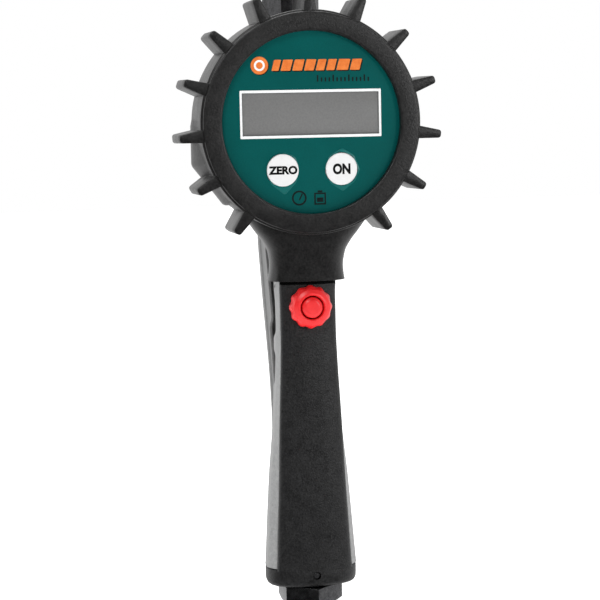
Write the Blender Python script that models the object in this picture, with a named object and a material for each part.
"""Digital tyre inflator handle: a round gauge in a finned rubber boot on top of a cast handle with a squeeze lever behind it.

Lengths are in millimetres in the code and metres in the scene. Inside the code x runs across the handle, y back from
the front face of the gauge boot, and z up from the centre of the gauge. The whole is then set down so that the open end
of the air inlet stands at height zero and the object's box is centred on the vertical axis.
"""

import math

import bmesh
import bpy
from mathutils import Matrix, Vector

MM = 0.001
GAP = 0.3

# gauge boot
BOOT_R = 40.0
BOOT_SIDE_R = 41.0
BOOT_MOUTH_R = 33.2
BOOT_POCKET_R = 38.2
BOOT_DEPTH = 25.2
FIN_COUNT = 13
FIN_STEP = 24.0
FIN_TIP_R = 49.0
FIN_FRONT = 1.4
FIN_REAR = 18.6

# gauge face
LABEL_R = 37.6
LABEL_Y = 2.7
SCREEN_W, SCREEN_H, SCREEN_Z = 51.2, 15.8, 3.25
KEY_R = 5.85
KEY_X = 10.97
KEY_Z = -17.1

# handle
HANDLE_BOTTOM = -168.2
SKIRT_BOTTOM = -58.7
CAP_BOTTOM = -175.2
INLET_BOTTOM = -183.5
INLET_Y = 21.0
INLET_FLATS = 22.0

# head, outlet and lever
HEAD_TOP = 36.0
OUTLET_Y = 37.0
OUTLET_TOP = 57.0
OUTLET_FLATS = 19.0
PIVOT_Y, PIVOT_Z = 41.0, -22.0
LEVER_T = 1.5
LEVER_BACK = 53.0

# valves
VALVE_Z = -83.0
BLEED_Z = -68.2

Y_CENTRE = LEVER_BACK / 2
Z_LIFT = -INLET_BOTTOM

for old in list(bpy.data.objects):
    bpy.data.objects.remove(old, do_unlink=True)


def material(name, colour, roughness, metallic=0.0):
    made = bpy.data.materials.new(name)
    made.use_nodes = True
    shader = made.node_tree.nodes["Principled BSDF"]
    shader.inputs["Base Color"].default_value = (*colour, 1.0)
    shader.inputs["Roughness"].default_value = roughness
    shader.inputs["Metallic"].default_value = metallic
    made.diffuse_color = (*colour, 1.0)
    return made


def add(name, verts, faces, look, at=(0.0, 0.0, 0.0), helper=False):
    """One object from points in mm, with its own origin at the point `at`."""
    mesh = bpy.data.meshes.new(name)
    mesh.from_pydata([[(v[i] - at[i]) * MM for i in range(3)] for v in verts], [], faces)
    work = bmesh.new()
    work.from_mesh(mesh)
    bmesh.ops.recalc_face_normals(work, faces=work.faces)
    bmesh.ops.triangulate(work, faces=work.faces)
    work.to_mesh(mesh)
    work.free()
    mesh.shade_smooth()
    mesh.set_sharp_from_angle(angle=math.radians(32))
    made = bpy.data.objects.new(name, mesh)
    made.location = (at[0] * MM, (at[1] - Y_CENTRE) * MM, (at[2] + Z_LIFT) * MM)
    bpy.context.scene.collection.objects.link(made)
    if helper:
        made.hide_render = True
        made.display_type = "WIRE"
    else:
        mesh.materials.append(look)
    return made


def loft(rings):
    """Points and faces of a skin over rings of equal length, capped at both ends."""
    n = len(rings[0])
    verts = [p for ring in rings for p in ring]
    faces = [list(range(n))[::-1], [len(verts) - n + i for i in range(n)]]
    for k in range(len(rings) - 1):
        for i in range(n):
            j = (i + 1) % n
            faces.append([k * n + i, k * n + j, (k + 1) * n + j, (k + 1) * n + i])
    return verts, faces


def turned(profile, axis, centre, steps=24, ring=False, lobes=0, depth=0.0, from_r=0.0, phase=0.0):
    """Points and faces of a profile of (radius, height) turned about an axis. `ring` closes the profile on itself."""
    verts, faces, rows = [], [], []
    for r, h in profile:
        row = []
        for s in range(1 if r == 0 else steps):
            t = 2 * math.pi * s / steps + phase
            rr = r
            if lobes and r > from_r:
                rr = r - depth * (0.5 - 0.5 * math.cos(lobes * t))
            a, b = rr * math.cos(t), rr * math.sin(t)
            if axis == "Y":
                point = (centre[0] + a, h, centre[1] + b)
            elif axis == "Z":
                point = (centre[0] + a, centre[1] + b, h)
            else:
                point = (h, centre[0] + a, centre[1] + b)
            row.append(len(verts))
            verts.append(point)
        rows.append(row)
    pairs = list(zip(rows, rows[1:] + (rows[:1] if ring else [])))
    for one, two in pairs:
        for s in range(steps):
            u = (s + 1) % steps
            if len(one) == 1 and len(two) == 1:
                continue
            if len(one) == 1:
                faces.append([one[0], two[s], two[u]])
            elif len(two) == 1:
                faces.append([one[s], two[0], one[u]])
            else:
                faces.append([one[s], two[s], two[u], one[u]])
    return verts, faces


def bored(profile, axis, centre, steps=24):
    """A turned cutter whose corners stay clear of the part's own middle plane."""
    return turned(profile, axis, centre, steps, phase=0.137)


def box(x0, x1, y0, y1, z0, z1):
    ring = lambda z: [(x0, y0, z), (x1, y0, z), (x1, y1, z), (x0, y1, z)]
    return loft([ring(z0), ring(z1)])


def coil(axis_y, axis_z, y0, y1, radius, wire, turns, per_turn=10, sides=5):
    """A round wire spring wound about a line along y."""
    rings = []
    count = int(turns * per_turn)
    for k in range(count + 1):
        t = k / count
        a = 2 * math.pi * turns * t
        y = y0 + wire / 2 + (y1 - y0 - wire) * t
        c = Vector((radius * math.cos(a), y, axis_z + radius * math.sin(a)))
        out = Vector((math.cos(a), 0, math.sin(a)))
        rings.append([tuple(c + (out * math.cos(b) + Vector((0, 1, 0)) * math.sin(b)) * wire / 2) for b in (2 * math.pi * i / sides for i in range(sides))])
    return loft(rings)


def cut(target, tool, operation="DIFFERENCE"):
    made = target.modifiers.new(tool.name, "BOOLEAN")
    made.operation = operation
    made.object = tool
    made.solver = "EXACT"


def helper(name, shape, at=(0.0, 0.0, 0.0)):
    return add(name, *shape, None, at=at, helper=True)


RUBBER = material("boot_rubber", (0.030, 0.030, 0.031), 0.62)
BLACK = material("case_black", (0.025, 0.025, 0.026), 0.45)
GRIP = material("grip_black", (0.028, 0.028, 0.029), 0.70)
GREEN = material("label_green", (0.000, 0.105, 0.090), 0.40)
LENS = material("screen_lens", (0.245, 0.255, 0.250), 0.18)
GLASS = material("screen_glass", (0.30, 0.32, 0.30), 0.15)
WHITE = material("key_white", (0.90, 0.89, 0.89), 0.38)
BOARD = material("board_green", (0.02, 0.16, 0.06), 0.50)
CELL = material("cell_steel", (0.62, 0.62, 0.62), 0.30, 1.0)
STEEL = material("steel", (0.55, 0.55, 0.56), 0.28, 1.0)
BRASS = material("brass", (0.70, 0.52, 0.24), 0.30, 1.0)
CAST = material("cast_grey", (0.42, 0.43, 0.43), 0.42)
LEVER = material("lever_grey", (0.46, 0.47, 0.47), 0.36)
DARK = material("dark_nickel", (0.16, 0.16, 0.165), 0.33, 1.0)
RED = material("knob_red", (0.74, 0.012, 0.014), 0.34)
SEAL = material("seal_rubber", (0.02, 0.02, 0.02), 0.65)


# ---------------------------------------------------------------- body casting
def body_ring(z, yf, fw, W, ym, yr, grow=0.0, more_back=0.0):
    yf, fw, W, yr = yf - grow, fw + grow, W + grow, yr + grow + more_back
    half = [
        (0.0, yf),
        (fw * 0.6, yf),
        (fw, yf),
        (fw + (W - fw) * 0.8, yf + (ym - yf) * 0.5),
        (W, ym),
        (W, ym + (yr - ym) * 0.3),
        (W * 0.93, ym + (yr - ym) * 0.62),
        (W * 0.72, ym + (yr - ym) * 0.90),
        (W * 0.40, yr),
    ]
    right = half
    left = [(-x, y) for x, y in reversed([*half[1:], (0.0, yr)]) if x > 0]
    return [(x, y, z) for x, y in [*right, (0.0, yr), *left]]


# z, front, front half width, half width, depth of the widest line, back
BODY = [
    (HANDLE_BOTTOM, 13.5, 14.7, 17.5, 17.2, 31.0),
    (-160.0, 13.5, 14.3, 16.9, 17.4, 31.0),
    (-135.0, 13.5, 13.0, 15.1, 17.8, 30.8),
    (-117.0, 13.5, 12.3, 13.3, 18.0, 30.5),
    (-105.0, 13.5, 11.7, 12.4, 18.0, 30.5),
    (-90.0, 13.5, 11.0, 11.7, 18.0, 30.5),
    (-78.0, 13.5, 10.7, 11.4, 18.0, 30.5),
    (-67.0, 13.5, 10.7, 11.2, 18.0, 30.5),
    (-59.0, 13.5, 10.6, 11.1, 18.5, 30.8),
    (-52.0, 15.0, 10.0, 11.0, 20.5, 33.0),
    (-45.0, 18.5, 9.4, 11.0, 24.5, 37.0),
    (-37.0, 25.7, 9.0, 11.0, 31.0, 42.0),
    (-30.0, 25.8, 9.0, 11.0, 31.0, 44.0),
    (-8.0, 25.8, 9.0, 11.0, 31.0, 44.5),
    (30.0, 25.8, 8.4, 11.0, 31.0, 45.5),
    (HEAD_TOP, 26.6, 7.6, 10.2, 31.0, 44.8),
]
body = add("valve_body", *loft([body_ring(*row) for row in BODY]), CAST)

cut(body, helper("cut_inlet", bored([(0, -190), (6.1, -190), (6.1, -156.8), (3.6, -156.0), (3.6, -74.0), (0, -74.0)], "Z", (0, INLET_Y), 16)))
cut(body, helper("cut_chamber", bored([(0, 15.2), (6.6, 15.2), (6.6, 40), (0, 40)], "Y", (0, VALVE_Z), 16)))
cut(body, helper("cut_bleed", bored([(0, 10), (5.5, 10), (5.5, 22.5), (2.0, 23.5), (0, 23.5)], "Y", (0, BLEED_Z), 16)))
link_a, link_b = Vector((0, 21, -61)), Vector((0, 36.5, -27))
slope = (link_b - link_a).normalized()
side = Vector((1, 0, 0))
over = slope.cross(side)
tube = []
for far in (link_a - slope * 3.0, link_b + slope * 2.0):
    tube.append([tuple(far + side * 2.4 * math.cos(a) + over * 2.4 * math.sin(a)) for a in (0.23 + 2 * math.pi * i / 10 for i in range(10))])
cut(body, helper("cut_link", loft(tube)))
cut(body, helper("cut_riser", bored([(0, -31), (2.5, -31), (2.5, 26.2), (5.9, 26.2), (5.9, 60), (0, 60)], "Z", (0, OUTLET_Y), 16)))
cut(body, helper("cut_tap", bored([(0, 20), (4.4, 20), (4.4, 33.5), (1.6, 34.4), (1.6, 37), (0, 37)], "Y", (0, 0), 14)))
cut(body, helper("cut_pivot", bored([(0, -20), (2.15, -20), (2.15, 20), (0, 20)], "X", (PIVOT_Y, PIVOT_Z), 14)))
cut(body, helper("cut_cross", bored([(0, -20), (1.0, -20), (1.0, -4.9), (0, -4.9)], "X", (20.0, -60.9), 10)))

# ---------------------------------------------------------------- rubber boot
boot = add(
    "rubber_boot",
    *turned(
        [(0, 0), (39.2, 0), (BOOT_R, 0.7), (BOOT_R, 1.7), (39.5, 2.2), (40.4, 2.9), (BOOT_SIDE_R, 3.6), (BOOT_SIDE_R, BOOT_DEPTH), (0, BOOT_DEPTH)],
        "Y", (0, 0), 60,
    ),
    RUBBER,
)


def fin(angle):
    """One fin: rounded tip, thicker at its root and towards the back."""
    rings = []
    for y, more in ((FIN_FRONT, 0.0), (FIN_FRONT + 0.7, 0.35), (FIN_REAR - 0.7, 0.75), (FIN_REAR, 0.45)):
        root, tip, end = 2.05 + more * 0.5, 1.25 + more * 0.5, FIN_TIP_R - 0.5 + more * 0.6
        flat = [(39.4, -root), (end - 0.9, -tip), (end, -tip * 0.45), (end, tip * 0.45), (end - 0.9, tip), (39.4, root)]
        c, s = math.cos(angle), math.sin(angle)
        rings.append([(r * c - t * s, y, r * s + t * c) for r, t in flat])
    return loft(rings)


fins_v, fins_f = [], []
for k in range(FIN_COUNT):
    v, f = fin(math.radians(90 + FIN_STEP * (k - FIN_COUNT // 2)))
    fins_f += [[i + len(fins_v) for i in face] for face in f]
    fins_v += v
cut(boot, helper("join_fins", (fins_v, fins_f)), "UNION")

shoulder = [(-40.2, 6.0), (-41.5, -0.8), (-41.5, -14.3), (-40.4, -17.2), (-34.1, -24.4), (-30.2, -29.4), (-27.0, -30.3)]
outline = shoulder + [(-x, z) for x, z in reversed(shoulder)]
cut(boot, helper("join_shoulder", loft([[(x, y, z) for x, z in outline] for y in (17.8, BOOT_DEPTH - 0.35)])), "UNION")


def oval(z, hw, yf, yr, power=2.7, count=28):
    points = []
    for i in range(count):
        a = 2 * math.pi * i / count
        c, s = math.cos(a), math.sin(a)
        points.append((hw * math.copysign(abs(c) ** (2 / power), c), (yf + yr) / 2 + (yr - yf) / 2 * math.copysign(abs(s) ** (2 / power), s), z))
    return points


SKIRT = [
    (-30.0, 27.5, 3.9, 25.0),
    (-36.5, 22.2, 4.0, 25.0),
    (-40.4, 19.2, 4.3, 25.2),
    (-44.0, 16.6, 5.0, 25.8),
    (-48.0, 14.6, 6.1, 26.5),
    (-53.0, 13.8, 7.2, 27.0),
    (-56.5, 14.1, 7.6, 27.2),
    (SKIRT_BOTTOM, 14.5, 7.7, 27.3),
]
cut(boot, helper("join_skirt", loft([oval(*row) for row in SKIRT])), "UNION")
cut(
    boot,
    helper(
        "cut_pocket",
        bored([(0, -2), (BOOT_MOUTH_R, -2), (BOOT_MOUTH_R, 2.4), (BOOT_POCKET_R, 2.4), (BOOT_POCKET_R, 19.4), (36.4, 19.4), (36.4, 30), (0, 30)], "Y", (0, 0), 48),
    ),
)
cut(boot, helper("cut_neck", loft([body_ring(*row, grow=0.4, more_back=3.0) for row in [(-64.0, 13.5, 10.6, 11.1, 18.5, 30.8), *BODY[8:13]]])))

# ---------------------------------------------------------------- gauge case
case = add(
    "gauge_case_front",
    *turned([(0, 3.6), (37.4, 3.6), (37.8, 4.0), (37.8, 16.5), (35.8, 16.5), (35.8, 5.4), (0, 5.4)], "Y", (0, 0), 40),
    BLACK,
)
cut(case, helper("cut_window", box(-24.6, 24.6, 1, 9, SCREEN_Z - 7.2, SCREEN_Z + 7.2)))
for tag, x in (("left", -KEY_X), ("right", KEY_X)):
    cut(case, helper(f"cut_key_{tag}", bored([(0, 1), (6.2, 1), (6.2, 9), (0, 9)], "Y", (x, KEY_Z), 20)))
case_rear = add(
    "gauge_case_rear",
    *turned([(5.5, 25.0), (35.6, 25.0), (36.1, 24.5), (36.1, 19.1), (37.8, 19.1), (37.8, 16.9), (35.6, 16.9), (33.2, 17.6), (33.2, 22.9), (5.5, 22.9)], "Y", (0, 0), 40, ring=True),
    BLACK,
)
cut(case_rear, helper("cut_door", bored([(0, 20), (11.1, 20), (11.1, 30), (0, 30)], "Y", (-22.2, 0), 24)))
door = add("battery_door", *turned([(0, 23.0), (10.8, 23.0), (10.8, 24.4), (10.3, 24.9), (0, 24.9)], "Y", (-22.2, 0), 24), BLACK)
cut(door, helper("cut_coin_slot", box(-28.2, -16.2, 24.2, 27, -0.9, 0.9)))
add("coin_cell", *turned([(0, 18.8), (9.3, 18.8), (10.0, 19.3), (10.0, 22.0), (0, 22.0)], "Y", (-22.2, 0), 24), CELL)
add("circuit_board", *turned([(0, 9.0), (33.0, 9.0), (33.0, 10.6), (0, 10.6)], "Y", (0, 0), 28), BOARD)
add("pressure_sensor", *turned([(0, 11.0), (4.4, 11.0), (4.4, 12.9), (0, 12.9)], "Y", (0, 0), 16), STEEL)
add("gauge_stem", *turned([(0, 13.2), (4.8, 13.2), (4.8, 24.2), (4.1, 24.8), (4.1, 28.6), (3.2, 28.6), (3.2, 30.6), (4.1, 30.6), (4.1, 33.0), (1.2, 33.0), (1.2, 17.0), (0, 16.4)], "Y", (0, 0), 16), BRASS)
add("gauge_seal", *turned([(3.45, 28.9), (4.2, 28.9), (4.2, 30.3), (3.45, 30.3)], "Y", (0, 0), 16, ring=True), SEAL)

label = add("face_label", *turned([(0, LABEL_Y), (LABEL_R, LABEL_Y), (LABEL_R, LABEL_Y + 0.6), (0, LABEL_Y + 0.6)], "Y", (0, 0), 44), GREEN)
cut(label, helper("cut_label_window", box(-SCREEN_W / 2, SCREEN_W / 2, 1, 6, SCREEN_Z - SCREEN_H / 2, SCREEN_Z + SCREEN_H / 2)))
for tag, x in (("left", -KEY_X), ("right", KEY_X)):
    cut(label, helper(f"cut_label_key_{tag}", bored([(0, 1), (KEY_R + 0.3, 1), (KEY_R + 0.3, 6), (0, 6)], "Y", (x, KEY_Z), 24)))
window = add("screen_window", *box(-24.3, 24.3, 3.2, 5.2, SCREEN_Z - 6.9, SCREEN_Z + 6.9), LENS)
cut(window, helper("join_window_face", box(-SCREEN_W / 2 + GAP, SCREEN_W / 2 - GAP, 2.85, 3.3, SCREEN_Z - SCREEN_H / 2 + GAP, SCREEN_Z + SCREEN_H / 2 - GAP)), "UNION")
add("screen_panel", *box(-25.5, 25.5, 5.8, 8.4, SCREEN_Z - 8.2, SCREEN_Z + 8.2), GLASS)
for name, x in (("zero_key", -KEY_X), ("on_key", KEY_X)):
    add(
        name,
        *turned([(0, 2.05), (KEY_R - 0.5, 2.15), (KEY_R, 2.5), (KEY_R, 5.9), (2.4, 5.9), (2.4, 8.2), (0, 8.2)], "Y", (x, KEY_Z), 24),
        WHITE,
        at=(x, 2.05, KEY_Z),
    )

# ---------------------------------------------------------------- front grip and end cap
GRIP_ROWS = [
    (HANDLE_BOTTOM, 14.4, 9.3),
    (-150.0, 13.6, 9.3),
    (-134.0, 12.8, 9.4),
    (-115.0, 12.1, 9.6),
    (-104.0, 11.6, 9.7),
    (-89.0, 10.9, 9.8),
    (-77.0, 10.6, 9.9),
    (-65.0, 10.6, 9.9),
    (SKIRT_BOTTOM - GAP, 10.7, 9.9),
]


def grip_ring(z, hw, yf):
    half = [(hw * f, 13.15 - (13.15 - yf) * (1 - f**2.3) ** (1 / 2.3)) for f in (0.28, 0.52, 0.72, 0.87, 0.965, 1.0)]
    return [(x, y, z) for x, y in half] + [(-x, y, z) for x, y in reversed(half)]


grip = add("front_grip", *loft([grip_ring(*row) for row in GRIP_ROWS]), GRIP)
cut(grip, helper("cut_grip_hole", bored([(0, 5), (5.7, 5), (5.7, 20), (0, 20)], "Y", (0, BLEED_Z), 24)))


def cap_ring(z, by, power=2.45, count=28):
    """The cap is an oval, flush with the front of the grip, and drawn in by `by` at its rounded lower edge."""
    hw, y0, y1 = 17.4 - by, 8.9 + by, 31.4 - by
    points = []
    for k in range(count):
        a = 2 * math.pi * (k + 0.5) / count
        c, s = math.cos(a), math.sin(a)
        points.append((hw * math.copysign(abs(c) ** (2 / power), c), (y0 + y1) / 2 + (y1 - y0) / 2 * math.copysign(abs(s) ** (2 / power), s), z))
    return points


CAP = [(CAP_BOTTOM, 2.0), (CAP_BOTTOM + 0.6, 0.9), (CAP_BOTTOM + 1.9, 0.15), (-168.5, 0.0)]
cap = add("end_cap", *loft([cap_ring(*row) for row in CAP]), GRIP)
cut(cap, helper("cut_cap_hole", bored([(0, -180), (7.7, -180), (7.7, -160), (0, -160)], "Z", (0, INLET_Y), 24)))
cut(cap, helper("cut_cap_pin", bored([(0, 5), (1.5, 5), (1.5, 11.0), (0, 11.0)], "Y", (0.4, -170.7), 12)))
add("cap_pin", *turned([(0, 8.75), (1.2, 8.75), (1.2, 10.7), (0, 10.7)], "Y", (0.4, -170.7), 12), STEEL)
add("side_pin", *turned([(0, -10.8), (0.7, -10.8), (0.7, -5.3), (0, -5.3)], "X", (20.0, -60.9), 10), STEEL)


# ---------------------------------------------------------------- hexagon fittings
def hexagon(cx, cy, flats, z0, z1, first):
    r = flats / math.sqrt(3)
    ring = lambda z: [(cx + r * math.cos(math.radians(first + 60 * i)), cy + r * math.sin(math.radians(first + 60 * i)), z) for i in range(6)]
    return loft([ring(z0), ring(z1)])


half_flat = INLET_FLATS / 2
corner = INLET_FLATS / math.sqrt(3)
inlet = add(
    "inlet_fitting",
    *turned([(0, INLET_BOTTOM), (8.9, INLET_BOTTOM), (corner + 0.1, INLET_BOTTOM + 2.8), (corner + 0.1, -176.2), (half_flat - 0.2, -175.5), (7.3, -175.5), (7.3, -168.9), (5.8, -168.6), (5.8, -158.0), (0, -158.0)], "Z", (0, INLET_Y), 30),
    DARK,
)
limit = helper("keep_inlet_hex", hexagon(0, INLET_Y, INLET_FLATS, INLET_BOTTOM - 2, -150, 93))
cut(inlet, limit, "INTERSECT")
cut(inlet, helper("cut_inlet_bore", bored([(0, -190), (6.5, -190), (6.5, INLET_BOTTOM), (5.9, INLET_BOTTOM + 0.8), (5.9, -171.0), (3.5, -171.0), (3.5, -150), (0, -150)], "Z", (0, INLET_Y), 20)))
add("inlet_screen", *turned([(0, -172.2), (5.5, -172.2), (5.5, -171.3), (0, -171.3)], "Z", (0, INLET_Y), 16), BRASS)
add("inlet_seal", *turned([(3.9, -157.75), (5.7, -157.75), (5.7, -157.05), (3.9, -157.05)], "Z", (0, INLET_Y), 16, ring=True), SEAL)

out_flat = OUTLET_FLATS / 2
out_corner = OUTLET_FLATS / math.sqrt(3)
swivel = add(
    "outlet_swivel",
    *turned(
        [(0, 26.9), (5.6, 26.9), (5.6, 29.6), (4.3, 29.9), (4.3, 32.1), (5.6, 32.4), (5.6, 36.4), (7.6, 36.4), (7.6, 37.6), (out_flat - 0.2, 37.6), (out_corner + 0.1, 38.7), (out_corner + 0.1, 48.4), (out_flat - 0.2, 49.5), (8.0, 49.5), (8.0, 56.4), (7.4, OUTLET_TOP), (0, OUTLET_TOP)],
        "Z", (0, OUTLET_Y), 30,
    ),
    DARK,
    at=(0, OUTLET_Y, HEAD_TOP),
)
cut(swivel, helper("keep_outlet_hex", hexagon(0, OUTLET_Y, OUTLET_FLATS, 20, 60, 0)), "INTERSECT")
cut(swivel, helper("cut_outlet_bore", bored([(0, 20), (2.4, 20), (2.4, 44), (5.0, 45), (5.0, 60), (0, 60)], "Z", (0, OUTLET_Y), 20)))
add("outlet_seal", *turned([(4.55, 30.3), (5.65, 30.3), (5.65, 31.7), (4.55, 31.7)], "Z", (0, OUTLET_Y), 16, ring=True), SEAL)

# ---------------------------------------------------------------- squeeze lever
# z, half width, front edge, back face
LEVER_ROWS = [
    (-12.0, 12.6, 40.0, 46.6),
    (-15.0, 13.0, 37.0, 47.6),
    (-20.0, 13.1, 34.4, 48.0),
    (-30.0, 13.2, 32.4, 48.0),
    (-43.0, 13.1, 31.6, 48.2),
    (-60.0, 12.1, 31.4, 48.6),
    (-72.5, 11.2, 31.5, 48.8),
    (-75.5, 11.0, 33.6, 48.9),
    (-78.5, 10.8, 37.2, 49.0),
    (-94.0, 9.6, 38.9, 49.2),
    (-106.0, 8.9, 40.2, 49.6),
    (-117.0, 8.5, 41.4, 50.3),
    (-128.0, 8.4, 42.9, 51.4),
    (-136.0, 8.3, 45.3, 52.5),
    (-139.0, 7.4, 47.5, LEVER_BACK),
]


def channel(z, w, yf, yr, t=LEVER_T):
    half = [(w - t, yf), (w, yf), (w, yr - 1.6), (w - 1.6, yr)]
    inner = [(w - t - 0.8, yr - t), (w - t, yr - t - 0.8)]
    ring = half + [(-x, y) for x, y in reversed(half)]
    ring += [(-inner[1][0], inner[1][1]), (-inner[0][0], inner[0][1]), inner[0], inner[1]]
    return [(x, y, z) for x, y in ring]


PIVOT = (0, PIVOT_Y, PIVOT_Z)
lever = add("lever", *loft([channel(*row) for row in LEVER_ROWS]), LEVER, at=PIVOT)
cut(lever, helper("cut_lever_eyes", bored([(0, -20), (2.3, -20), (2.3, 20), (0, 20)], "X", (PIVOT_Y, PIVOT_Z), 14)))
add("lever_pin", *turned([(0, -15.0), (2.9, -15.0), (3.3, -14.6), (3.3, -13.5), (1.95, -13.5), (1.95, 13.7), (1.5, 13.7), (1.5, 14.5), (1.95, 14.5), (1.95, 15.0), (0, 15.0)], "X", (PIVOT_Y, PIVOT_Z), 14), STEEL)
add("pin_clip", *turned([(1.75, 13.8), (3.6, 13.8), (3.6, 14.4), (1.75, 14.4)], "X", (PIVOT_Y, PIVOT_Z), 14, ring=True), STEEL)

# ---------------------------------------------------------------- air valve
add(
    "valve_stem",
    *turned([(0, 20.6), (1.6, 20.6), (1.6, 23.6), (5.0, 23.6), (5.0, 25.6), (2.2, 26.0), (2.2, 45.3), (1.7, 46.6), (0, 47.0)], "Y", (0, VALVE_Z), 16),
    STEEL,
    at=(0, 47.0, VALVE_Z),
)
add("valve_seal", *turned([(2.5, 26.3), (4.6, 26.3), (4.6, 27.2), (2.5, 27.2)], "Y", (0, VALVE_Z), 16, ring=True), SEAL)
add("valve_plug", *turned([(2.6, 27.6), (6.3, 27.6), (6.3, 31.2), (6.3, 32.0), (6.3, 33.2), (5.7, 33.8), (2.6, 33.8)], "Y", (0, VALVE_Z), 18, ring=True), BRASS)
add("valve_spring", *coil(0, VALVE_Z, 15.5, 23.3, 3.2, 0.9, 4.0), STEEL)

# ---------------------------------------------------------------- bleed valve
add(
    "bleed_collar",
    *turned(
        [(4.45, 4.9), (5.4, 4.9), (6.6, 5.6), (7.5, 6.8), (8.05, 8.4), (8.05, 9.3), (7.5, 9.6), (5.3, 9.6), (5.3, 18.0), (2.3, 18.0), (2.3, 13.2), (4.45, 13.2)],
        "Y", (0, BLEED_Z), 48, ring=True, lobes=12, depth=0.7, from_r=7.0,
    ),
    RED,
)
add(
    "bleed_button",
    *turned([(0, 4.45), (3.0, 4.6), (4.0, 5.3), (4.0, 8.9), (1.9, 8.9), (1.9, 19.9), (3.2, 19.9), (3.2, 20.9), (0, 20.9)], "Y", (0, BLEED_Z), 20),
    RED,
    at=(0, 4.45, BLEED_Z),
)
add("bleed_spring", *coil(0, BLEED_Z, 9.2, 12.9, 3.0, 0.7, 3.0), STEEL)
add("bleed_seal", *turned([(2.2, 18.3), (3.3, 18.3), (3.3, 19.6), (2.2, 19.6)], "Y", (0, BLEED_Z), 16, ring=True), SEAL)
